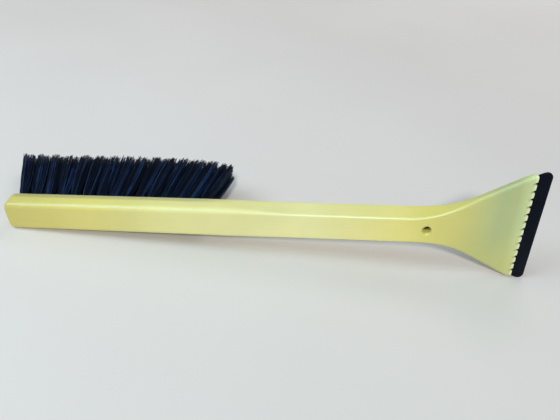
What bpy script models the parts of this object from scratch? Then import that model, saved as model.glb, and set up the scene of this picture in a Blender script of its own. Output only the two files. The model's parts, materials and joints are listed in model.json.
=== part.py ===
"""Snow brush with a scraper head, in metres, lying on its long edge.

The pieces are modelled in the tool's own axes: x runs from the brush end to the scraper, y through the
thickness from the plain front to the bristles, and z across the width. The empty called tool then
tips them up so that the heel of the brush block and the corner of the squeegee both rest on z = 0.
"""

import math

import bmesh
import bpy
from mathutils import Matrix, Vector

MM = 0.001

# The bristle tufts, in two rows that line up
COLUMNS = 15
FIRST_TUFT = 8.3 * MM
TUFT_PITCH = 11.73 * MM
ROW_SPACING = 10.5 * MM
LEAN_FIRST = math.radians(-20.5)
LEAN_LAST = math.radians(11.8)
HOLE_RADIUS = 3.8 * MM
HOLE_DEPTH = 12 * MM
HOLE_CLEARANCE = 0.3 * MM
TRIM_LENGTH = 75 * MM
TRIM_FALL = 8 * MM
FALL_COLUMNS = 5
TIP_GAP = 0.6 * MM
STRAND_SPOKES = 8
STRAND_RING = 1.9 * MM
STRAND_GAP = 0.24 * MM

# The handle body along x
BLOCK_TAIL = 28 * MM
BLOCK_BLEND = 56 * MM
NECK_START = 352.8 * MM
THIN_LENGTH = 60 * MM
HEAD_LENGTH = 95.8 * MM
BEVEL_LENGTH = 11.5 * MM
CORNER_LAND = 4.5 * MM

# Its sections
BLOCK_WIDTH = 28 * MM
BLOCK_SWELL = 1.8 * MM
HANDLE_WIDTH = 25.4 * MM
THICKNESS = 19.8 * MM
HEAD_THICKNESS = 7.6 * MM
EDGE_THICKNESS = 5.8 * MM
BLOCK_ROUND = 3.8 * MM
HANDLE_ROUND = 1.9 * MM
HEAD_ROUND = 2.2 * MM
END_ROUND = 1.8 * MM
END_CORNER = 4.5 * MM
ROUND_STEPS = 4

# The flare of the head
FLARE_ANGLE = math.radians(31)
FLARE_RADIUS = 93 * MM
FLARE_STEPS = 12

# The hang hole, its place measured from the neck
HANG_OFFSET = 15 * MM
HANG_RADIUS = 3.6 * MM
HANG_RIM = 1.2 * MM

# The teeth: round notches cut the front of the lip into teeth
TOOTH_PITCH = 7.5 * MM
TOOTH_MARGIN = 4 * MM
NOTCH_RADIUS = 1.5 * MM
NOTCH_LENGTH = 6 * MM
NOTCH_DEPTH = 1.2 * MM

# The squeegee lip and its pocket
LIP_DEPTH = 11 * MM
RUBBER_THICKNESS = 2.6 * MM
RUBBER_FLARE = 5.3 * MM
RUBBER_ROUND = 4.5 * MM
TONGUE_DEPTH = 8.5 * MM
TONGUE_INSET = 4 * MM
TONGUE_CLEARANCE = 0.15 * MM

BLOCK_LENGTH = FIRST_TUFT + (COLUMNS - 1) * TUFT_PITCH + BLOCK_TAIL
LEAN_STEP = (LEAN_LAST - LEAN_FIRST) / (COLUMNS - 1)
HANG_X = NECK_START + HANG_OFFSET
EDGE_X = NECK_START + HEAD_LENGTH
TOOL_LENGTH = EDGE_X + LIP_DEPTH
BACK_Y = THICKNESS / 2


def smooth_step(value):
    value = min(max(value, 0), 1)
    return value * value * (3 - 2 * value)


def block_to_handle(x):
    return smooth_step((x - BLOCK_LENGTH) / BLOCK_BLEND)


def neck_to_head(x):
    return smooth_step((x - NECK_START) / THIN_LENGTH)


def block_half_width(x):
    """Half the block's width: round corners at the brush end, then a slight swell towards the handle."""
    corner = max(END_CORNER - x, 0)
    fall = END_CORNER - math.sqrt(END_CORNER**2 - corner**2)
    return (BLOCK_WIDTH + BLOCK_SWELL * min(x / BLOCK_LENGTH, 1)) / 2 - fall


def half_width(x):
    """Half the body's width: block, handle, the arc into the flare, the flare and its corner land."""
    if x <= NECK_START:
        block = block_half_width(x)
        return block + (HANDLE_WIDTH / 2 - block) * block_to_handle(x)
    along = min(x, EDGE_X - CORNER_LAND) - NECK_START
    arc = min(along, FLARE_RADIUS * math.sin(FLARE_ANGLE))
    rise = FLARE_RADIUS - math.sqrt(FLARE_RADIUS**2 - arc**2)
    return HANDLE_WIDTH / 2 + rise + (along - arc) * math.tan(FLARE_ANGLE)


def half_thickness(x):
    """Half the body's thickness: full along the handle, thin at the head, bevelled at its edge."""
    bevel = max(x - EDGE_X + BEVEL_LENGTH, 0) / BEVEL_LENGTH
    full = THICKNESS + (HEAD_THICKNESS - THICKNESS) * neck_to_head(x)
    return (full + (EDGE_THICKNESS - HEAD_THICKNESS) * bevel) / 2


def edge_round(x):
    block = BLOCK_ROUND + (HANDLE_ROUND - BLOCK_ROUND) * block_to_handle(x)
    return block + (HEAD_ROUND - HANDLE_ROUND) * neck_to_head(x)


def clear_scene():
    for old in list(bpy.data.objects):
        bpy.data.objects.remove(old)


def make_material(name, colour, roughness):
    material = bpy.data.materials.new(name)
    material.use_nodes = True
    shader = material.node_tree.nodes["Principled BSDF"]
    shader.inputs["Base Color"].default_value = (*colour, 1)
    shader.inputs["Roughness"].default_value = roughness
    return material


def make_object(bm, name, tool, material=None):
    """An object of the tool from a bmesh. One with no material is a hidden cutter."""
    bmesh.ops.recalc_face_normals(bm, faces=bm.faces)
    mesh = bpy.data.meshes.new(name)
    bm.to_mesh(mesh)
    bm.free()
    made = bpy.data.objects.new(name, mesh)
    bpy.context.scene.collection.objects.link(made)
    made.parent = tool
    if material:
        mesh.materials.append(material)
        mesh.shade_smooth()
        mesh.set_sharp_from_angle(angle=math.radians(35))
    else:
        made.hide_render = True
        made.display_type = "WIRE"
    return made


def cut(target, cutter):
    boolean = target.modifiers.new(cutter.name, "BOOLEAN")
    boolean.operation = "DIFFERENCE"
    boolean.solver = "EXACT"
    boolean.object = cutter


def new_verts(grown):
    return [part for part in grown["geom"] if isinstance(part, bmesh.types.BMVert)]


def open_edges(bm):
    return [edge for edge in bm.edges if edge.is_boundary]


def section_ring(bm, x, inset):
    """The edges of one rounded rectangle across the body."""
    radius = edge_round(x)
    middle_y = half_thickness(x) - inset - radius
    middle_z = half_width(x) - inset - radius
    ring = []
    for corner, (side_y, side_z) in enumerate(((1, 1), (-1, 1), (-1, -1), (1, -1))):
        for step in range(ROUND_STEPS + 1):
            angle = (corner + step / ROUND_STEPS) * math.pi / 2
            y = side_y * middle_y + radius * math.cos(angle)
            z = side_z * middle_z + radius * math.sin(angle)
            ring.append(bm.verts.new((x, y, z)))
    return [bm.edges.new((a, b)) for a, b in zip(ring, ring[1:] + ring[:1])]


def body_stations():
    """(x, inset) of each section. The insets round the edges of the brush end."""
    stations = []
    for step in range(4):
        angle = step / 3 * math.pi / 2
        stations.append((END_ROUND * (1 - math.cos(angle)), END_ROUND * (1 - math.sin(angle))))
    places = [END_ROUND + (END_CORNER - END_ROUND) * step / 3 for step in range(1, 4)]
    places += [BLOCK_LENGTH + BLOCK_BLEND * step / 8 for step in range(9)]
    bend = max(FLARE_RADIUS * math.sin(FLARE_ANGLE), THIN_LENGTH)
    places += [NECK_START + bend * step / FLARE_STEPS for step in range(FLARE_STEPS + 1)]
    places += [EDGE_X - BEVEL_LENGTH, EDGE_X - CORNER_LAND, EDGE_X]
    return stations + [(x, 0) for x in places]


def make_body(tool, material):
    bm = bmesh.new()
    rings = [section_ring(bm, x, inset) for x, inset in body_stations()]
    for first, second in zip(rings, rings[1:]):
        bmesh.ops.bridge_loops(bm, edges=first + second)
    bmesh.ops.holes_fill(bm, edges=rings[0] + rings[-1], sides=0)
    return make_object(bm, "handle_body", tool, material)


def trim_length(column):
    """How far the bristles stand out: level, then falling away over the last columns."""
    past = max(column + 1 + FALL_COLUMNS - COLUMNS, 0) / FALL_COLUMNS
    return TRIM_LENGTH - TRIM_FALL * past**2


def tuft_places():
    """(name, lean, trim, matrix) of each tuft: its root on the block's back, local z out along its hole."""
    for column in range(COLUMNS):
        lean = LEAN_FIRST + LEAN_STEP * column
        trim = trim_length(column)
        turn = Matrix.Rotation(-lean, 4, "Z") @ Matrix.Rotation(-math.pi / 2, 4, "X")
        for row, side in (("upper", 1), ("lower", -1)):
            root = (FIRST_TUFT + TUFT_PITCH * column, BACK_Y, side * ROW_SPACING / 2)
            yield f"tuft_{row}_{column + 1:02d}", lean, trim, Matrix.Translation(root) @ turn


def add_rod(bm, matrix, radius, depth, end_radius=None, segments=12):
    bmesh.ops.create_cone(
        bm,
        cap_ends=True,
        segments=segments,
        radius1=radius,
        radius2=radius if end_radius is None else end_radius,
        depth=depth,
        matrix=matrix,
    )


def make_tuft_holes(tool):
    bm = bmesh.new()
    past = HOLE_RADIUS
    for _, _, _, place in tuft_places():
        middle = Matrix.Translation((0, 0, (past - HOLE_DEPTH) / 2))
        add_rod(bm, place @ middle, HOLE_RADIUS, HOLE_DEPTH + past)
    return make_object(bm, "cut_tuft_holes", tool)


def make_hang_hole(tool):
    bm = bmesh.new()
    through = Matrix.Translation((HANG_X, 0, 0)) @ Matrix.Rotation(math.pi / 2, 4, "X")
    add_rod(bm, through, HANG_RADIUS, 2 * THICKNESS, segments=20)
    return make_object(bm, "cut_hang_hole", tool)


def make_hang_rim(tool, name, side):
    """A cone that opens the hole's rim, square to the sloping face on that side."""
    bm = bmesh.new()
    step = HANG_RADIUS / 2
    slope = (half_thickness(HANG_X + step) - half_thickness(HANG_X - step)) / (2 * step)
    face = Matrix.Translation((HANG_X, side * half_thickness(HANG_X), 0))
    face = face @ Matrix.Rotation(side * math.atan(slope), 4, "Z")
    face = face @ Matrix.Rotation(-side * math.pi / 2, 4, "X")
    add_rod(bm, face, HANG_RADIUS - HANG_RIM, 4 * HANG_RIM, HANG_RADIUS + 3 * HANG_RIM, segments=20)
    return make_object(bm, name, tool)


def make_notches(tool):
    """Round-bottomed notches that deepen towards the edge of the front lip."""
    bm = bmesh.new()
    start_y = -half_thickness(EDGE_X - NOTCH_LENGTH)
    end_y = -half_thickness(EDGE_X) + NOTCH_DEPTH
    dip = math.atan2(end_y - start_y, NOTCH_LENGTH)
    each_side = int((half_width(EDGE_X) - TOOTH_MARGIN) / TOOTH_PITCH)
    for index in range(-each_side, each_side + 1):
        place = Matrix.Translation((EDGE_X, end_y, index * TOOTH_PITCH)) @ Matrix.Rotation(dip, 4, "Z")
        place = place @ Matrix.Translation((0, -NOTCH_RADIUS, 0)) @ Matrix.Rotation(math.pi / 2, 4, "Y")
        add_rod(bm, place, NOTCH_RADIUS, 4 * NOTCH_LENGTH)
    return make_object(bm, "cut_notches", tool)


def tongue_half():
    return half_width(EDGE_X) - TONGUE_INSET


def make_pocket(tool):
    """The closed-ended pocket that holds the squeegee's tongue, cut in from the end of the head."""
    bm = bmesh.new()
    length = TONGUE_DEPTH + TONGUE_CLEARANCE + LIP_DEPTH
    size = (length, RUBBER_THICKNESS + 2 * TONGUE_CLEARANCE, 2 * (tongue_half() + TONGUE_CLEARANCE))
    middle = Matrix.Translation((TOOL_LENGTH - length / 2, 0, 0))
    bmesh.ops.create_cube(bm, size=1, matrix=middle @ Matrix.Diagonal((*size, 1)))
    return make_object(bm, "cut_lip_pocket", tool)


def lip_outline():
    """The squeegee in plan, as (x, z): tongue, shoulders, flared ends and round corners."""
    shoulder = EDGE_X + TONGUE_CLEARANCE
    wide = half_width(EDGE_X)
    lean = math.atan2(RUBBER_FLARE, LIP_DEPTH)
    round_x = TOOL_LENGTH - RUBBER_ROUND
    round_z = wide + (round_x - EDGE_X) * math.tan(lean) - RUBBER_ROUND / math.cos(lean)
    half = [(EDGE_X - TONGUE_DEPTH, tongue_half()), (shoulder, tongue_half()), (shoulder, wide)]
    for step in range(7):
        angle = (math.pi / 2 + lean) * (1 - step / 6)
        half.append((round_x + RUBBER_ROUND * math.cos(angle), round_z + RUBBER_ROUND * math.sin(angle)))
    return half + [(x, -z) for x, z in reversed(half)]


def make_lip(tool, material):
    bm = bmesh.new()
    front = [bm.verts.new((x, -RUBBER_THICKNESS / 2, z)) for x, z in lip_outline()]
    pulled = bmesh.ops.extrude_face_region(bm, geom=[bm.faces.new(front)])
    bmesh.ops.translate(bm, verts=new_verts(pulled), vec=(0, RUBBER_THICKNESS, 0))
    return make_object(bm, "squeegee_lip", tool, material)


def make_tuft(name, lean, trim, place, tool, material):
    """The folded root in its hole, then two rings of strands that spread to a flat trim."""
    bm = bmesh.new()
    radius = HOLE_RADIUS - HOLE_CLEARANCE
    bmesh.ops.create_circle(bm, cap_ends=True, cap_tris=True, segments=STRAND_SPOKES, radius=STRAND_RING)
    outer = new_verts(bmesh.ops.extrude_edge_only(bm, edges=open_edges(bm)))
    bmesh.ops.scale(bm, verts=outer, vec=(radius / STRAND_RING, radius / STRAND_RING, 1))
    tops = list(bm.faces)
    deep = new_verts(bmesh.ops.extrude_edge_only(bm, edges=open_edges(bm)))
    bmesh.ops.translate(bm, verts=deep, vec=(0, 0, HOLE_CLEARANCE - HOLE_DEPTH))
    bmesh.ops.holes_fill(bm, edges=open_edges(bm), sides=0)
    bmesh.ops.inset_individual(bm, faces=tops, thickness=STRAND_GAP / 2)
    spread_along = (TUFT_PITCH + trim * math.tan(LEAN_STEP) - TIP_GAP) / (2 * radius)
    spread_across = (ROW_SPACING - TIP_GAP) / (2 * radius)
    for strand in bmesh.ops.extrude_discrete_faces(bm, faces=tops)["faces"]:
        root = strand.calc_center_median()
        shift = Vector((root.x * (spread_along - 1), root.y * (spread_across - 1), 0))
        for vert in strand.verts:
            vert.co += shift
            vert.co.z = (trim + vert.co.x * math.sin(lean)) / math.cos(lean)
    made = make_object(bm, name, tool, material)
    made.matrix_local = place


def rest_incline():
    """The tilt at which the heel of the block and the lip's lower corner share one floor."""
    return max(math.atan2(-z - BLOCK_WIDTH / 2, x - END_CORNER) for x, z in lip_outline())


def set_down(tool):
    """Tips the tool up and moves it so that its box stands on z = 0, centred on the origin."""
    tool.rotation_euler = (0, -rest_incline(), 0)
    bpy.context.view_layer.update()
    graph = bpy.context.evaluated_depsgraph_get()
    points = []
    for piece in tool.children:
        if not piece.hide_render:
            shown = piece.evaluated_get(graph)
            points += [shown.matrix_world @ vert.co for vert in shown.data.vertices]
    low = [min(point[axis] for point in points) for axis in range(3)]
    high = [max(point[axis] for point in points) for axis in range(3)]
    tool.location = (-(low[0] + high[0]) / 2, -(low[1] + high[1]) / 2, -low[2])


def build():
    clear_scene()
    plastic = make_material("yellow_plastic", (0.72, 0.76, 0.36), 0.35)
    rubber = make_material("black_rubber", (0.012, 0.014, 0.02), 0.6)
    bristle = make_material("black_bristle", (0.01, 0.014, 0.025), 0.45)
    tool = bpy.data.objects.new("tool", None)
    bpy.context.scene.collection.objects.link(tool)
    body = make_body(tool, plastic)
    cut(body, make_tuft_holes(tool))
    cut(body, make_hang_hole(tool))
    cut(body, make_hang_rim(tool, "cut_hang_rim_front", -1))
    cut(body, make_hang_rim(tool, "cut_hang_rim_back", 1))
    cut(body, make_pocket(tool))
    cut(body, make_notches(tool))
    make_lip(tool, rubber)
    for name, lean, trim, place in tuft_places():
        make_tuft(name, lean, trim, place, tool, bristle)
    set_down(tool)


build()
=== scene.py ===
"""The looks of the snow brush: a pale yellow moulding, its rubber squeegee lip and thirty bristle tufts.

The pieces are modelled in the tool's own axes, as its solids are: x runs from the brush end to the scraper,
y through the thickness from the plain front to the bristles, and z across the width. PLACE then lays them
down where the solids lie.
"""

import json
import math
import random

import bmesh
import bpy
from mathutils import Matrix, Vector


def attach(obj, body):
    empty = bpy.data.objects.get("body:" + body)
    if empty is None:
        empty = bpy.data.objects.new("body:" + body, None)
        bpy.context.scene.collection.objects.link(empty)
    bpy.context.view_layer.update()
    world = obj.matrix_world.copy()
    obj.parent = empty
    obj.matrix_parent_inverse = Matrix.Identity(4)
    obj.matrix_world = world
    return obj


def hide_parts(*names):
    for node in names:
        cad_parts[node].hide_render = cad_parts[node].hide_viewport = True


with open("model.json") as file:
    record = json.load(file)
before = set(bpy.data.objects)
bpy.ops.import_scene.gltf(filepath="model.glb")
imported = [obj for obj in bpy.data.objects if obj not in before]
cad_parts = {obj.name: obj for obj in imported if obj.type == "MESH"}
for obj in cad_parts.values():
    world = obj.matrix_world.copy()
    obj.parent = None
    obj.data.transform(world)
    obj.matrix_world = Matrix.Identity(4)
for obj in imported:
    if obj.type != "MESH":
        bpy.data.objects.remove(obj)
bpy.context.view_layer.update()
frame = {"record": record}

MM = 0.001

# The tufts
COLUMNS = 15
FIRST_TUFT = 8.3 * MM
TUFT_PITCH = 11.73 * MM
ROW_SPACING = 10.5 * MM
LEAN_FIRST = math.radians(-20.5)
LEAN_LAST = math.radians(11.8)
HOLE_RADIUS = 3.8 * MM
HOLE_DEPTH = 12 * MM
TRIM_LENGTH = 75 * MM
TRIM_FALL = 8 * MM
FALL_COLUMNS = 5

# The filaments of one tuft
FILAMENTS = 230
FILAMENT_RADIUS = 0.25 * MM
TIP_TAPER = 0.8
ROOT_DEPTH = 5 * MM
FILAMENT_STEPS = 6
BUNDLE_RADIUS = 3.35 * MM
SPREAD_ALONG = 2.3
SPREAD_ACROSS = 1.45
SPREAD_POWER = 0.55
WISPS = 16
WISP_PULL = 0.35
WISP_SHORT = 1.1 * MM
TIP_REACH = 9.4 * MM
OUTER_REACH = 5.6 * MM
SIDE_REACH = 5.2 * MM
TIP_INSET = 0.35 * MM
TIP_UNEVEN = 0.5 * MM
DRIFT_ALONG = 0.8 * MM
DRIFT_ACROSS = 0.7 * MM
BOW = 0.5 * MM
STRAY_SHARE = 0.03
STRAY_ALONG = 3
STRAY_ACROSS = 2
SHORT_FROM = 0.94
SHORT_MOST = 3 * MM
STRAND_SHADE = "strand_shade"

# The moulding along x
BLOCK_TAIL = 28 * MM
BLOCK_BLEND = 56 * MM
NECK_START = 352.8 * MM
THIN_LENGTH = 60 * MM
HEAD_LENGTH = 95.8 * MM
BEVEL_LENGTH = 11.5 * MM
CORNER_LAND = 4.5 * MM

# Its sections
BLOCK_WIDTH = 28 * MM
BLOCK_SWELL = 1.8 * MM
HANDLE_WIDTH = 25.4 * MM
THICKNESS = 19.8 * MM
HEAD_THICKNESS = 7.6 * MM
EDGE_THICKNESS = 5.8 * MM
FRONT_ROUND = (5.5 * MM, 4.2 * MM)
BACK_ROUND = (7.5 * MM, 3.0 * MM)
HANDLE_ROUND = 1.9 * MM
HEAD_ROUND = 3.0 * MM
EDGE_SHARE = 0.8
END_ROUND = 1.8 * MM
END_CORNER = 4.5 * MM
EDGE_SOFTENING = 0.7 * MM
ROUND_STEPS = 7
SMOOTH_DEGREES = 40
FLAT_SHARES = (0.03, 0.12, 0.28, 0.43, 0.57, 0.72, 0.88, 0.97)

# The flare of the head, its hang hole and its teeth
FLARE_ANGLE = math.radians(31)
FLARE_RADIUS = 93 * MM
HANG_OFFSET = 15 * MM
HANG_RADIUS = 3.6 * MM
RIM_ROUND = 2.0 * MM
RIM_TURN = math.radians(76)
RIM_STEPS = 7
BORE_DARK = 1.6 * MM
TOOTH_PITCH = 7.5 * MM
TOOTH_MARGIN = 4 * MM
NOTCH_LENGTH = 5 * MM
NOTCH_DEPTH = 2.4 * MM
NOTCH_POWER = 1.4
NOTCH_HALF = 0.49 * TOOTH_PITCH
NOTCH_TOP = 3 * NOTCH_DEPTH
NOTCH_SHADE = 1.5 * MM
TIP_HIGHLIGHT = 3 * MM

# The squeegee lip
LIP_DEPTH = 11 * MM
RUBBER_THICKNESS = 2.6 * MM
RUBBER_EDGE = 2.0 * MM
RUBBER_FLARE = 5.3 * MM
RUBBER_ROUND = 4.5 * MM
RUBBER_SOFTENING = 0.45 * MM
TONGUE_DEPTH = 8.5 * MM
TONGUE_INSET = 4 * MM
TONGUE_CLEARANCE = 0.15 * MM

BLOCK_LENGTH = FIRST_TUFT + (COLUMNS - 1) * TUFT_PITCH + BLOCK_TAIL
LEAN_STEP = (LEAN_LAST - LEAN_FIRST) / (COLUMNS - 1)
HANG_X = NECK_START + HANG_OFFSET
EDGE_X = NECK_START + HEAD_LENGTH
TOOL_LENGTH = EDGE_X + LIP_DEPTH
BACK_Y = THICKNESS / 2
GOLDEN_TURN = math.pi * (3 - math.sqrt(5))

# Where marks, painted shade and painted light on the plastic fade in or out, each from one place to another
TUFT_SIDES = (0.7 * BLOCK_WIDTH / 2, 0.8 * BLOCK_WIDTH / 2)
TUFT_SHADE_IN = (0.05 * BACK_Y, 0.3 * BACK_Y)
TUFT_SHADE_OUT = (0.75 * BACK_Y, 0.95 * BACK_Y)
TOP_LIGHT_OUT = (0.15 * EDGE_X, 0.5 * EDGE_X)
TOP_LIGHT_UPPER = (0.8 * BLOCK_WIDTH / 2, BLOCK_WIDTH / 2)
TOP_LIGHT_THROUGH = (-0.9 * BACK_Y, -0.4 * BACK_Y)
LAST_NOTCH = (6.4 * TOOTH_PITCH, 6.5 * TOOTH_PITCH)
FRONT_SIDE = (-MM, 0)

# The floor
FLOOR_REACH = 40
FLOOR_NEAR = 0.5
FLOOR_FAR = 3.0

# The camera that took the photograph, and the mount that the tool's axes are placed by
CAMERA_PLACE = (0.037040, -0.425320, 0.328636)
CAMERA_TURN = (53.78836, -3.985454, 4.862525)
LENS = 36
SENSOR_WIDTH = 36
MOUNT_NAME = "handle_front"
MOUNT_X = 285 * MM

# What the lights point at
TOOL_MIDDLE = (0, 0, 0.03)
TOOL_FRONT = (0, -0.02, 0.03)


def smooth_step(value):
    value = min(max(value, 0), 1)
    return value * value * (3 - 2 * value)


def block_to_handle(x):
    return smooth_step((x - BLOCK_LENGTH) / BLOCK_BLEND)


def neck_to_head(x):
    return smooth_step((x - NECK_START) / THIN_LENGTH)


def block_half_width(x):
    """Half the block's width: round corners at the brush end, then a slight swell towards the handle."""
    corner = max(END_CORNER - x, 0)
    fall = END_CORNER - math.sqrt(END_CORNER**2 - corner**2)
    return (BLOCK_WIDTH + BLOCK_SWELL * min(x / BLOCK_LENGTH, 1)) / 2 - fall


def half_width(x):
    """Half the moulding's width: block, handle, the arc into the flare, the flare and its corner land."""
    if x <= NECK_START:
        block = block_half_width(x)
        return block + (HANDLE_WIDTH / 2 - block) * block_to_handle(x)
    along = min(x, EDGE_X - CORNER_LAND) - NECK_START
    arc = min(along, FLARE_RADIUS * math.sin(FLARE_ANGLE))
    rise = FLARE_RADIUS - math.sqrt(FLARE_RADIUS**2 - arc**2)
    return HANDLE_WIDTH / 2 + rise + (along - arc) * math.tan(FLARE_ANGLE)


def half_thickness(x):
    """Half its thickness: full along the handle, thin at the head, bevelled towards the edge."""
    bevel = max(x - EDGE_X + BEVEL_LENGTH, 0) / BEVEL_LENGTH
    full = THICKNESS + (HEAD_THICKNESS - THICKNESS) * neck_to_head(x)
    return (full + (EDGE_THICKNESS - HEAD_THICKNESS) * bevel) / 2


def edge_round(x, block_round):
    """How far a round long edge reaches at x, from its reach on the block."""
    handle = block_round + (HANDLE_ROUND - block_round) * block_to_handle(x)
    return handle + (HEAD_ROUND - HANDLE_ROUND) * neck_to_head(x)


def tongue_half():
    return half_width(EDGE_X) - TONGUE_INSET


def lip_outline():
    """The squeegee in plan, as (x, z): tongue, shoulders, flared ends and round corners."""
    shoulder = EDGE_X + TONGUE_CLEARANCE
    wide = half_width(EDGE_X)
    lean = math.atan2(RUBBER_FLARE, LIP_DEPTH)
    round_x = TOOL_LENGTH - RUBBER_ROUND
    round_z = wide + (round_x - EDGE_X) * math.tan(lean) - RUBBER_ROUND / math.cos(lean)
    half = [(EDGE_X - TONGUE_DEPTH, tongue_half()), (shoulder, tongue_half()), (shoulder, wide)]
    for step in range(7):
        angle = (math.pi / 2 + lean) * (1 - step / 6)
        half.append((round_x + RUBBER_ROUND * math.cos(angle), round_z + RUBBER_ROUND * math.sin(angle)))
    return half + [(x, -z) for x, z in reversed(half)]


def rest_incline():
    """The tilt at which the heel of the block and the lip's lower corner share one floor."""
    return max(math.atan2(-z - BLOCK_WIDTH / 2, x - END_CORNER) for x, z in lip_outline())


def tool_place():
    """The matrix from the tool's axes to the frame, read from the mount on the handle's front."""
    turn = Matrix.Rotation(-rest_incline(), 4, "Y")
    mount = next(item for item in frame["record"]["mounts"] if item["name"] == MOUNT_NAME)
    shift = Vector(mount["pos_m"]) - turn @ Vector((MOUNT_X, -THICKNESS / 2, 0))
    return Matrix.Translation(shift) @ turn


PLACE = tool_place()


# Shader sums

class Wire:
    """A shader socket that takes part in Python sums: each operator adds a Math node."""

    def __init__(self, tree, socket=None):
        self.tree = tree
        self.socket = socket

    def node(self, kind, settings=None, inputs=None, output=0):
        """A new node of a type, with its settings made first and then its sockets filled or linked."""
        made = self.tree.nodes.new(kind)
        for name, value in (settings or {}).items():
            if name == "stops":
                self.fill_ramp(made.color_ramp, value)
            else:
                setattr(made, name, value)
        for name, value in (inputs or {}).items():
            if isinstance(value, Wire):
                self.tree.links.new(value.socket, made.inputs[name])
            else:
                made.inputs[name].default_value = value
        return Wire(self.tree, made.outputs[output])

    @staticmethod
    def fill_ramp(ramp, stops):
        while len(ramp.elements) < len(stops):
            ramp.elements.new(1)
        for element, (place, colour) in zip(ramp.elements, stops):
            element.position = place
            element.color = (*colour, 1)

    def math(self, operation, first, second=0.0):
        return self.node("ShaderNodeMath", {"operation": operation}, {0: first, 1: second})

    def __add__(self, other):
        return self.math("ADD", self, other)

    def __radd__(self, other):
        return self.math("ADD", other, self)

    def __sub__(self, other):
        return self.math("SUBTRACT", self, other)

    def __rsub__(self, other):
        return self.math("SUBTRACT", other, self)

    def __mul__(self, other):
        return self.math("MULTIPLY", self, other)

    def __rmul__(self, other):
        return self.math("MULTIPLY", other, self)

    def __truediv__(self, other):
        return self.math("DIVIDE", self, other)

    def __rtruediv__(self, other):
        return self.math("DIVIDE", other, self)

    def between(self, low, high):
        """0 below low, 1 above high and a smooth step between."""
        settings = {"interpolation_type": "SMOOTHSTEP"}
        return self.node("ShaderNodeMapRange", settings, {"Value": self, "From Min": low, "From Max": high})

    def mix(self, first, second):
        """The first colour where this is 0 and the second where it is 1."""
        settings = {"data_type": "RGBA"}
        return self.node("ShaderNodeMix", settings, {0: self, 6: first, 7: second}, output=2)

    def scaled(self, amounts):
        """This vector times one number for each axis."""
        return self.node("ShaderNodeVectorMath", {"operation": "MULTIPLY"}, {0: self, 1: amounts})

    def noise(self, scale, detail=2.0, roughness=0.5):
        """Soft noise, from 0 to 1, read at this vector."""
        inputs = {"Vector": self, "Scale": scale, "Detail": detail, "Roughness": roughness}
        return self.node("ShaderNodeTexNoise", None, inputs)

    def length(self):
        return self.node("ShaderNodeVectorMath", {"operation": "LENGTH"}, {0: self}, output=1)

    def axes(self):
        split = self.node("ShaderNodeSeparateXYZ", None, {0: self}).socket.node
        return [Wire(self.tree, socket) for socket in split.outputs]


def start_material(name):
    """A new material, its shader node, and a wire that carries the tool's axes, in metres."""
    material = bpy.data.materials.new(name)
    material.use_nodes = True
    tree = material.node_tree
    shader = tree.nodes["Principled BSDF"]
    objects = Wire(tree).node("ShaderNodeTexCoord", None, None, output=3)
    turn = {"Vector": objects, "Location": PLACE.translation, "Rotation": PLACE.to_euler()}
    return material, shader, objects.node("ShaderNodeMapping", {"vector_type": "TEXTURE"}, turn)


def feed(shader, colour=None, roughness=None, height=None, depth=0.0):
    """Links what varies to the shader. The height is a bump of that many metres."""
    tree = shader.id_data
    if colour:
        tree.links.new(colour.socket, shader.inputs["Base Color"])
    if roughness:
        tree.links.new(roughness.socket, shader.inputs["Roughness"])
    if height:
        bump = height.node("ShaderNodeBump", None, {"Height": height, "Distance": depth})
        tree.links.new(bump.socket, shader.inputs["Normal"])


def set_constants(shader, values):
    for name, value in values.items():
        shader.inputs[name].default_value = value


# Materials

def tuft_shade_band(along, through, across):
    """1 on the sides of the block close to the tufts, where a darker strip of painted shade lies, and 0
    elsewhere.
    """
    last_tuft = FIRST_TUFT + (COLUMNS - 1) * TUFT_PITCH
    past_tufts = along.between(last_tuft - TUFT_PITCH, BLOCK_LENGTH + TUFT_PITCH)
    length = along.between(0, FIRST_TUFT) * (1 - past_tufts)
    beside = across.math("ABSOLUTE", across).between(*TUFT_SIDES)
    strip = through.between(*TUFT_SHADE_IN) * (1 - through.between(*TUFT_SHADE_OUT))
    return length * beside * strip


def painted_top_light(along, through, across):
    """1 on the top of the block, where light from above is painted in as a paler colour, and 0 elsewhere."""
    length = along.between(0, END_CORNER) * (1 - along.between(*TOP_LIGHT_OUT))
    upper = across.between(*TOP_LIGHT_UPPER)
    return length * upper * through.between(*TOP_LIGHT_THROUGH)


def painted_notch_shade(along, through, across):
    """1 at the bottom of each notch between the teeth, where shade is painted dark brown, and 0 elsewhere.
    """
    turns = across / TOOTH_PITCH + 0.5
    off_middle = turns.math("FRACT", turns) - 0.5
    off_middle = off_middle.math("ABSOLUTE", off_middle) * TOOTH_PITCH
    inside = 1 - off_middle.between(0.3 * NOTCH_SHADE, NOTCH_SHADE)
    reach = across.math("ABSOLUTE", across)
    inside = inside * (1 - reach.between(*LAST_NOTCH))
    return inside * along.between(EDGE_X - 0.9 * NOTCH_LENGTH, EDGE_X) * (1 - through.between(*FRONT_SIDE))


def tooth_tip_highlight(along, through):
    """1 on the front of the teeth's tips, where a pale highlight is painted, and 0 elsewhere."""
    return along.between(EDGE_X - TIP_HIGHLIGHT, EDGE_X - 0.4 * TIP_HIGHLIGHT) * (1 - through.between(*FRONT_SIDE))


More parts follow.
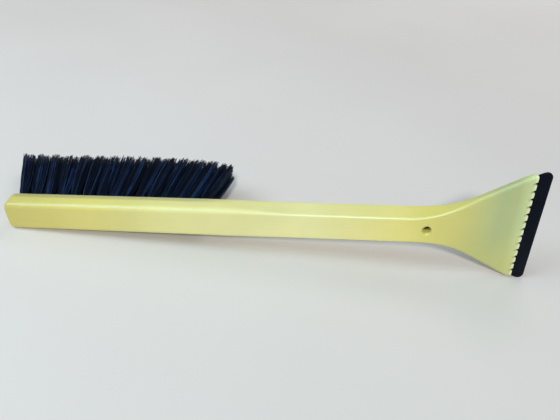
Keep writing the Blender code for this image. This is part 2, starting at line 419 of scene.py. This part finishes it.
def yellow_plastic():
    """Moulded plastic, paler over the middle of the grip and darker towards both ends as painted light
    falloff, greener where the dark tongue shows through the head.
    """
    material, shader, place = start_material("yellow_plastic")
    along, through, across = place.axes()
    # Painted light falloff: the ramp is palest over the grip's middle and darker towards both ends.
    ramp = [
        (0.0, (0.60, 0.50, 0.108)),
        (0.18, (0.705, 0.615, 0.168)),
        (0.33, (0.767, 0.715, 0.283)),
        (0.60, (0.85, 0.80, 0.36)),
        (0.78, (0.83, 0.74, 0.21)),
        (0.82, (0.757, 0.675, 0.168)),
        (0.885, (0.655, 0.605, 0.165)),
        (0.95, (0.465, 0.51, 0.222)),
        (0.972, (0.495, 0.53, 0.215)),
        (1.0, (0.65, 0.74, 0.34)),
    ]
    ground = along.node("ShaderNodeValToRGB", {"stops": ramp}, {"Fac": along / EDGE_X})
    # Painted warm bounce light: the lower half of the head is made yellower.
    painted_bounce_on_head = along.between(0.84 * EDGE_X, 0.93 * EDGE_X) * (0 - across).between(-0.01, 0.045)
    ground = (0.55 * painted_bounce_on_head).mix(ground, (0.63, 0.59, 0.152, 1))
    # Painted light: the top of the block made paler.
    ground = (0.3 * painted_top_light(along, through, across)).mix(ground, (0.84, 0.84, 0.255, 1))
    cloud = place.noise(22, 3).between(0.3, 0.7)
    flow = place.scaled((9, 420, 420)).noise(1, 3).between(0.3, 0.7)
    tone = 0.955 + 0.06 * cloud + 0.015 * flow
    grey = tone.node("ShaderNodeCombineColor", None, {0: tone, 1: tone, 2: tone})
    settings = {"data_type": "RGBA", "blend_type": "MULTIPLY"}
    colour = tone.node("ShaderNodeMix", settings, {0: 1.0, 6: ground, 7: grey}, output=2)
    from_hole = place.node("ShaderNodeVectorMath", {"operation": "SUBTRACT"}, {0: place, 1: (HANG_X, 0, 0)})
    # Painted shade: a darker strip along the block beside the tufts.
    tuft_shade = tuft_shade_band(along, through, across)
    colour = (0.42 * tuft_shade).mix(colour, (0.26, 0.25, 0.15, 1))
    # Painted highlight on the front of the teeth's tips.
    colour = (0.8 * tooth_tip_highlight(along, through)).mix(colour, (0.86, 0.86, 0.58, 1))
    # Painted shade in the notches between the teeth.
    colour = (0.8 * painted_notch_shade(along, through, across)).mix(colour, (0.20, 0.16, 0.06, 1))
    # Painted shade deep inside the hang hole's bore.
    bore = 1 - from_hole.scaled((1, 0, 1)).length().between(HANG_RADIUS, 1.15 * HANG_RADIUS)
    bore = bore * (1 - through.math("ABSOLUTE", through).between(BORE_DARK, 2 * BORE_DARK))
    speck = place.noise(620, 1).between(0.73, 0.8)
    colour = (0.85 * bore).mix(colour, (0.03, 0.025, 0.01, 1))
    colour = (0.3 * speck).mix(colour, (0.40, 0.38, 0.16, 1))
    scuff = place.scaled((60, 900, 900)).noise(1, 2).between(0.62, 0.78)
    roughness = 0.285 + 0.05 * cloud + 0.05 * scuff
    peel = place.noise(320, 2)
    feed(shader, colour, roughness, 0.5 * peel + 0.1 * flow - 0.2 * scuff, 0.00001)
    set_constants(shader, {"IOR": 1.58, "Specular IOR Level": 0.9, "Specular Tint": (0.08, 0.60, 0.92, 1)})
    return material


def black_rubber():
    """Satin rubber with a little pale dust rubbed into it."""
    material, shader, place = start_material("black_rubber")
    cloud = place.noise(60, 3).between(0.35, 0.7)
    grain = place.noise(2200, 2)
    dust = place.scaled((500, 500, 60)).noise(1, 3).between(0.55, 0.8)
    colour = (0.7 * cloud).mix((0.0026, 0.003, 0.0055, 1), (0.0042, 0.005, 0.009, 1))
    colour = (0.15 * dust).mix(colour, (0.02, 0.024, 0.03, 1))
    feed(shader, colour, 0.38 + 0.14 * cloud + 0.1 * dust, grain + 0.6 * dust, 0.00004)
    set_constants(shader, {"Specular Tint": (0.4, 0.6, 1.0, 1), "Specular IOR Level": 0.12})
    return material


def black_bristle():
    """Black nylon with a blue sheen, part of it painted: a random share of filaments is coloured brighter
    blue, no two filaments quite alike.
    """
    material, shader, place = start_material("black_bristle")
    strand = place.node("ShaderNodeAttribute", {"attribute_name": STRAND_SHADE}, None, output=2)
    # Painted sheen: a random share of the filaments made brighter blue.
    sheen_strands = strand.between(0.55, 0.9)
    cloud = place.noise(70, 2).between(0.35, 0.65)
    colour = sheen_strands.mix((0.0004, 0.0012, 0.004, 1), (0.022, 0.060, 0.190, 1))
    colour = (0.5 * cloud).mix(colour, (0.0006, 0.0012, 0.003, 1))
    feed(shader, colour, 0.44 - 0.15 * sheen_strands, place.noise(5000, 1), 0.00002)
    set_constants(shader, {"Specular Tint": (0.1, 0.4, 1.0, 1), "Specular IOR Level": 0.35})
    return material


def pale_floor():
    """A matte floor that pales far away, past the reach of the soft lights, to the white behind it."""
    material, shader, place = start_material("pale_floor")
    cloud = place.noise(3, 3).between(0.3, 0.7)
    colour = cloud.mix((0.68, 0.655, 0.65, 1), (0.705, 0.68, 0.675, 1))
    feed(shader, colour, 0.8 + 0.1 * cloud, place.noise(600, 2), 0.00003)
    glow = place.length().between(FLOOR_NEAR, FLOOR_FAR).mix((0, 0, 0, 1), (0.47, 0.51, 0.52, 1))
    shader.id_data.links.new(glow.socket, shader.inputs["Emission Color"])
    set_constants(shader, {"Specular IOR Level": 0.1, "Emission Strength": 1.0})
    return material


# Pieces

def make_piece(bm, name, material):
    """An object from a bmesh in the tool's axes, laid in its place by its mesh."""
    bmesh.ops.transform(bm, matrix=PLACE, verts=bm.verts)
    bmesh.ops.recalc_face_normals(bm, faces=bm.faces)
    mesh = bpy.data.meshes.new(name)
    bm.to_mesh(mesh)
    bm.free()
    mesh.materials.append(material)
    made = bpy.data.objects.new(name, mesh)
    bpy.context.scene.collection.objects.link(made)
    return made


def dress(piece, slot, *nodes):
    """Hangs a piece under the root body and hides the solids that it stands for. The slot is not used."""
    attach(piece, "root")
    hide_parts(*nodes)


def shade(piece):
    """Smooth shading, with the edges that turn further than SMOOTH_DEGREES kept sharp."""
    piece.data.shade_smooth()
    piece.data.set_sharp_from_angle(angle=math.radians(SMOOTH_DEGREES))


def carve(piece, cutters):
    """Cuts the cutters out of a piece for good, and removes them."""
    for cutter in cutters:
        boolean = piece.modifiers.new(cutter.name, "BOOLEAN")
        boolean.operation = "DIFFERENCE"
        boolean.solver = "EXACT"
        boolean.object = cutter
    bpy.context.view_layer.update()
    graph = bpy.context.evaluated_depsgraph_get()
    carved = bpy.data.meshes.new_from_object(piece.evaluated_get(graph))
    piece.modifiers.clear()
    piece.data = carved
    for cutter in cutters:
        bpy.data.objects.remove(cutter)


def section_ring(bm, x, inset):
    """The edges of one section of the moulding: four round corners with split flats between them."""
    most = EDGE_SHARE * (half_thickness(x) - inset)
    corners = []
    for corner, (side_y, side_z) in enumerate(((1, 1), (-1, 1), (-1, -1), (1, -1))):
        block_rounds = BACK_ROUND if side_y > 0 else FRONT_ROUND
        round_y, round_z = (min(edge_round(x, reach), most) for reach in block_rounds)
        middle_y = half_thickness(x) - inset - round_y
        middle_z = half_width(x) - inset - round_z
        arc = []
        for step in range(ROUND_STEPS + 1):
            angle = (corner + step / ROUND_STEPS) * math.pi / 2
            y = side_y * middle_y + round_y * math.cos(angle)
            arc.append(Vector((x, y, side_z * middle_z + round_z * math.sin(angle))))
        corners.append(arc)
    points = []
    for arc, following in zip(corners, corners[1:] + corners[:1]):
        points += arc
        points += [arc[-1].lerp(following[0], share) for share in FLAT_SHARES]
    ring = [bm.verts.new(point) for point in points]
    return [bm.edges.new(pair) for pair in zip(ring, ring[1:] + ring[:1])]


def evenly(start, end, count):
    return [start + (end - start) * step / count for step in range(count)]


def body_stations():
    """(x, inset) of each section. The insets round the brush end and soften the edge of the head."""
    turns = [step / 6 * math.pi / 2 for step in range(7)]
    stations = [(END_ROUND * (1 - math.cos(turn)), END_ROUND * (1 - math.sin(turn))) for turn in turns]
    blend_end = BLOCK_LENGTH + BLOCK_BLEND
    thin_end = NECK_START + THIN_LENGTH
    bevel_start = EDGE_X - BEVEL_LENGTH
    places = evenly(END_ROUND, END_CORNER, 5)[1:]
    places += evenly(END_CORNER, BLOCK_LENGTH, 30)
    places += evenly(BLOCK_LENGTH, blend_end, 24)
    places += evenly(blend_end, NECK_START, 16)
    places += evenly(NECK_START, thin_end, 36)
    places += evenly(thin_end, bevel_start, 12)
    places += evenly(bevel_start, EDGE_X - EDGE_SOFTENING, 12)
    stations += [(x, 0) for x in places]
    for turn in turns:
        x = EDGE_X - EDGE_SOFTENING * (1 - math.sin(turn))
        stations.append((x, EDGE_SOFTENING * (1 - math.cos(turn))))
    return stations


def tuft_places():
    """(column, row, lean, matrix) of each tuft: its root on the block's back, local z out along its hole."""
    for column in range(COLUMNS):
        lean = LEAN_FIRST + LEAN_STEP * column
        turn = Matrix.Rotation(-lean, 4, "Z") @ Matrix.Rotation(-math.pi / 2, 4, "X")
        for row, side in (("upper", 1), ("lower", -1)):
            root = (FIRST_TUFT + TUFT_PITCH * column, BACK_Y, side * ROW_SPACING / 2)
            yield column, row, lean, Matrix.Translation(root) @ turn


def tuft_hole_cutter(material):
    bm = bmesh.new()
    past = HOLE_RADIUS
    for _, _, _, place in tuft_places():
        bmesh.ops.create_cone(
            bm,
            cap_ends=True,
            segments=28,
            radius1=HOLE_RADIUS,
            radius2=HOLE_RADIUS,
            depth=HOLE_DEPTH + past,
            matrix=place @ Matrix.Translation((0, 0, (past - HOLE_DEPTH) / 2)),
        )
    return make_piece(bm, "cut_tuft_holes", material)


def hang_hole_cutter(material):
    """A spun trumpet at each face: the bore opens in a round rim that follows the sloping face."""
    bm = bmesh.new()
    face = half_thickness(HANG_X)
    half = [(HANG_RADIUS, face - RIM_ROUND)]
    for step in range(1, RIM_STEPS + 1):
        turn = RIM_TURN * step / RIM_STEPS
        radius = HANG_RADIUS + RIM_ROUND * (1 - math.cos(turn))
        half.append((radius, face - RIM_ROUND * (1 - math.sin(turn))))
    flare = Vector(half[-1]) + RIM_ROUND * Vector((math.sin(RIM_TURN), math.cos(RIM_TURN)))
    half += [tuple(flare), (0, flare.y + RIM_ROUND)]
    profile = [(radius, -y) for radius, y in reversed(half)] + half
    line = [bm.verts.new((HANG_X + radius, y, 0)) for radius, y in profile]
    edges = [bm.edges.new(pair) for pair in zip(line, line[1:])]
    bmesh.ops.spin(
        bm,
        geom=line + edges,
        cent=(HANG_X, 0, 0),
        axis=(0, 1, 0),
        angle=2 * math.pi,
        steps=48,
        use_merge=True,
    )
    bmesh.ops.remove_doubles(bm, verts=bm.verts, dist=0.001 * MM)
    for vert in bm.verts:
        vert.co.y += math.copysign(half_thickness(vert.co.x) - face, vert.co.y)
    return make_piece(bm, "cut_hang_hole", material)


def notch_cutter(material):
    """Sharp valleys that deepen towards the edge and leave rounded teeth between them."""
    bm = bmesh.new()
    start_y = -half_thickness(EDGE_X - NOTCH_LENGTH)
    end_y = NOTCH_DEPTH - half_thickness(EDGE_X)
    dip = math.atan2(end_y - start_y, NOTCH_LENGTH)
    each_side = int((half_width(EDGE_X) - TOOTH_MARGIN) / TOOTH_PITCH)
    for index in range(-each_side, each_side + 1):
        outline = [(-NOTCH_HALF, -NOTCH_TOP)]
        for step in range(17):
            share = step / 8 - 1
            rise = NOTCH_DEPTH * (1 - (1 - abs(share)) ** NOTCH_POWER)
            outline.append((NOTCH_HALF * share, -rise))
        outline.append((NOTCH_HALF, -NOTCH_TOP))
        end = [bm.verts.new((2 * NOTCH_LENGTH, y, z)) for z, y in outline]
        pulled = bmesh.ops.extrude_face_region(bm, geom=[bm.faces.new(end)])
        start = [part for part in pulled["geom"] if isinstance(part, bmesh.types.BMVert)]
        bmesh.ops.translate(bm, verts=start, vec=(-4 * NOTCH_LENGTH, 0, 0))
        place = Matrix.Translation((EDGE_X, end_y, index * TOOTH_PITCH)) @ Matrix.Rotation(dip, 4, "Z")
        bmesh.ops.transform(bm, matrix=place, verts=end + start)
    return make_piece(bm, "cut_notches", material)


def pocket_cutter(material):
    """The closed-ended pocket for the squeegee's tongue."""
    bm = bmesh.new()
    length = TONGUE_DEPTH + TONGUE_CLEARANCE + LIP_DEPTH
    size = (length, RUBBER_THICKNESS + 2 * TONGUE_CLEARANCE, 2 * (tongue_half() + TONGUE_CLEARANCE))
    middle = Matrix.Translation((TOOL_LENGTH - length / 2, 0, 0))
    bmesh.ops.create_cube(bm, size=1, matrix=middle @ Matrix.Diagonal((*size, 1)))
    return make_piece(bm, "cut_lip_pocket", material)


def make_body(material):
    bm = bmesh.new()
    rings = [section_ring(bm, x, inset) for x, inset in body_stations()]
    for first, second in zip(rings, rings[1:]):
        bmesh.ops.bridge_loops(bm, edges=first + second)
    bmesh.ops.holes_fill(bm, edges=rings[0] + rings[-1], sides=0)
    body = make_piece(bm, "moulded_handle", material)
    cutters = [
        tuft_hole_cutter(material),
        hang_hole_cutter(material),
        pocket_cutter(material),
        notch_cutter(material),
    ]
    carve(body, cutters)
    shade(body)
    dress(body, "body", "handle_body")


def make_lip(material):
    """The rubber blade: thinner towards its wiping edge, with every edge a little round."""
    bm = bmesh.new()
    front = [bm.verts.new((x, -RUBBER_THICKNESS / 2, z)) for x, z in lip_outline()]
    pulled = bmesh.ops.extrude_face_region(bm, geom=[bm.faces.new(front)])
    back = [part for part in pulled["geom"] if isinstance(part, bmesh.types.BMVert)]
    bmesh.ops.translate(bm, verts=back, vec=(0, RUBBER_THICKNESS, 0))
    for vert in bm.verts:
        past = max(vert.co.x - EDGE_X, 0) / LIP_DEPTH
        vert.co.y *= 1 + (RUBBER_EDGE / RUBBER_THICKNESS - 1) * past
    bmesh.ops.bevel(
        bm,
        geom=[edge for edge in bm.edges if abs(edge.verts[0].co.y + edge.verts[1].co.y) > RUBBER_EDGE / 2],
        offset=RUBBER_SOFTENING,
        affect="EDGES",
        segments=3,
        profile=0.5,
        material=-1,
    )
    lip = make_piece(bm, "squeegee_blade", material)
    shade(lip)
    dress(lip, "lip", "squeegee_lip")


def trim_length(column):
    """How far the bristles stand out: level, then falling away over the last columns."""
    past = max(column + 1 + FALL_COLUMNS - COLUMNS, 0) / FALL_COLUMNS
    return TRIM_LENGTH - TRIM_FALL * past**2


def folded(value, limit):
    """The value, turned back inwards where it passes the limit."""
    return math.copysign(limit - abs(limit - abs(value)), value)


def make_wisps(draw):
    """The wisps that a tuft's filaments cling together in: middle at the root, shortness and shade."""
    wisps = []
    for _ in range(WISPS):
        reach = BUNDLE_RADIUS * math.sqrt(draw.random())
        turn = 2 * math.pi * draw.random()
        middle = Vector((reach * math.cos(turn), reach * math.sin(turn), 0))
        wisps.append((middle, abs(draw.gauss(0, WISP_SHORT)), draw.random()))
    return wisps


def filament_path(draw, root, wisp, column, lean):
    """The points of one filament, from inside its hole to its cut tip, in the tuft's own axes."""
    drift_x = draw.gauss(0, DRIFT_ALONG)
    drift_y = draw.gauss(0, DRIFT_ACROSS)
    bow_x = draw.gauss(0, BOW)
    bow_y = draw.gauss(0, BOW)
    stray = draw.random()
    if stray < STRAY_SHARE:
        drift_x *= STRAY_ALONG
        drift_y *= STRAY_ACROSS
    middle, short, _ = wisp
    drawn = root.lerp(middle, WISP_PULL)
    limit = TIP_REACH if 0 < column < COLUMNS - 1 else OUTER_REACH
    tip_x = folded(drawn.x * SPREAD_ALONG + drift_x, limit)
    tip_y = folded(drawn.y * SPREAD_ACROSS + drift_y, SIDE_REACH)
    uneven = abs(draw.gauss(0, TIP_UNEVEN))
    short += TIP_INSET + uneven + (SHORT_MOST * draw.random() if stray > SHORT_FROM else 0)
    trim = trim_length(column + root.x / BUNDLE_RADIUS / 2) - short
    tip_z = (trim + tip_x * math.sin(lean)) / math.cos(lean)
    path = [Vector((root.x, root.y, -ROOT_DEPTH))]
    for step in range(FILAMENT_STEPS):
        share = step / (FILAMENT_STEPS - 1)
        bend = math.sin(math.pi * share)
        x = root.x + (tip_x - root.x) * share**SPREAD_POWER + bow_x * bend
        y = root.y + (tip_y - root.y) * share + bow_y * bend
        path.append(Vector((x, y, tip_z * share)))
    return path


def make_tuft(column, row, lean, place, material):
    """A bundle of filaments packed in its hole, spreading to ragged cut tips."""
    bm = bmesh.new()
    strand = bm.verts.layers.float.new(STRAND_SHADE)
    draw = random.Random(2 * column + (row == "upper"))
    wisps = make_wisps(draw)
    paths = []
    for index in range(FILAMENTS):
        reach = BUNDLE_RADIUS * math.sqrt((index + 0.5) / FILAMENTS)
        turn = index * GOLDEN_TURN
        root = Vector((reach * math.cos(turn), reach * math.sin(turn), 0))
        wisp = min(wisps, key=lambda item: (item[0] - root).length)
        paths.append(filament_path(draw, root, wisp, column, lean))
        start = Matrix.Translation(paths[-1][0]) @ Matrix.Rotation(turn, 4, "Z")
        ring = bmesh.ops.create_circle(bm, cap_ends=True, segments=4, radius=FILAMENT_RADIUS, matrix=start)
        shade_of_strand = 0.5 * (wisp[2] + draw.random())
        for vert in ring["verts"]:
            vert[strand] = shade_of_strand
    ends = list(bm.faces)
    for step in range(1, FILAMENT_STEPS + 1):
        ends = bmesh.ops.extrude_discrete_faces(bm, faces=ends)["faces"]
        taper = TIP_TAPER if step == FILAMENT_STEPS else 1
        for face, path in zip(ends, paths):
            for vert in face.verts:
                vert.co = path[step] + (vert.co - path[step - 1]) * taper
    bmesh.ops.holes_fill(bm, edges=[edge for edge in bm.edges if edge.is_boundary], sides=4)
    bmesh.ops.transform(bm, matrix=place, verts=bm.verts)
    tuft = make_piece(bm, f"filaments_{row}_{column + 1:02d}", material)
    tuft.data.shade_smooth()
    dress(tuft, "bristles", f"tuft_{row}_{column + 1:02d}")


# Floor, light and camera

def make_floor(material):
    bm = bmesh.new()
    bmesh.ops.create_grid(bm, x_segments=1, y_segments=1, size=FLOOR_REACH)
    mesh = bpy.data.meshes.new("floor")
    bm.to_mesh(mesh)
    bm.free()
    mesh.materials.append(material)
    floor = bpy.data.objects.new("floor", mesh)
    bpy.context.scene.collection.objects.link(floor)


def aim(name, light, place, target):
    lamp = bpy.data.objects.new(name, light)
    lamp.location = place
    lamp.rotation_euler = (Vector(target) - Vector(place)).to_track_quat("-Z", "Y").to_euler()
    bpy.context.scene.collection.objects.link(lamp)


def add_softbox(name, place, target, size, watts, colour):
    light = bpy.data.lights.new(name, "AREA")
    light.shape = "DISK"
    light.size = size
    light.energy = watts
    light.color = colour
    aim(name, light, place, target)


def add_key(place, target, strength, spread, colour):
    """A far lamp above the camera, with the same light all over the floor."""
    light = bpy.data.lights.new("key", "SUN")
    light.energy = strength
    light.angle = math.radians(spread)
    light.color = colour
    aim("key", light, place, target)


def make_light():
    """A pale room, white where the camera sees it, with a key above the camera and three soft fills."""
    world = bpy.data.worlds.new("studio")
    world.use_nodes = True
    tree = world.node_tree
    room = tree.nodes["Background"]
    room.inputs["Color"].default_value = (0.93, 0.96, 1.0, 1)
    room.inputs["Strength"].default_value = 0.25
    start = Wire(tree)
    white = start.node("ShaderNodeBackground", None, {"Color": (1, 1, 1, 1), "Strength": 1.0})
    seen = start.node("ShaderNodeLightPath")
    shown = start.node("ShaderNodeMixShader", None, {0: seen, 1: Wire(tree, room.outputs[0]), 2: white})
    tree.links.new(shown.socket, tree.nodes["World Output"].inputs["Surface"])
    bpy.context.scene.world = world
    add_key((0.02, -0.80, 0.71), TOOL_FRONT, 1.7, 6, (1.0, 0.95, 0.88))
    add_softbox("overhead", (-0.05, -0.45, 1.25), TOOL_FRONT, 0.95, 2.2, (0.6, 0.93, 1.0))
    add_softbox("left_fill", (-0.95, -0.4, 1.2), TOOL_MIDDLE, 1.0, 10.5, (0.75, 0.93, 1.0))
    add_softbox("back_fill", (0.5, 1.1, 1.7), TOOL_MIDDLE, 1.0, 5.5, (1.0, 0.96, 0.9))


def make_camera():
    data = bpy.data.cameras.new("camera")
    data.lens = LENS
    data.sensor_width = SENSOR_WIDTH
    camera = bpy.data.objects.new("camera", data)
    camera.location = CAMERA_PLACE
    camera.rotation_euler = [math.radians(angle) for angle in CAMERA_TURN]
    bpy.context.scene.collection.objects.link(camera)
    bpy.context.scene.camera = camera


def build():
    bpy.context.scene.view_settings.view_transform = "Standard"
    make_camera()
    make_body(yellow_plastic())
    make_lip(black_rubber())
    bristle = black_bristle()
    for column, row, lean, place in tuft_places():
        make_tuft(column, row, lean, place, bristle)
    make_floor(pale_floor())
    make_light()


build()
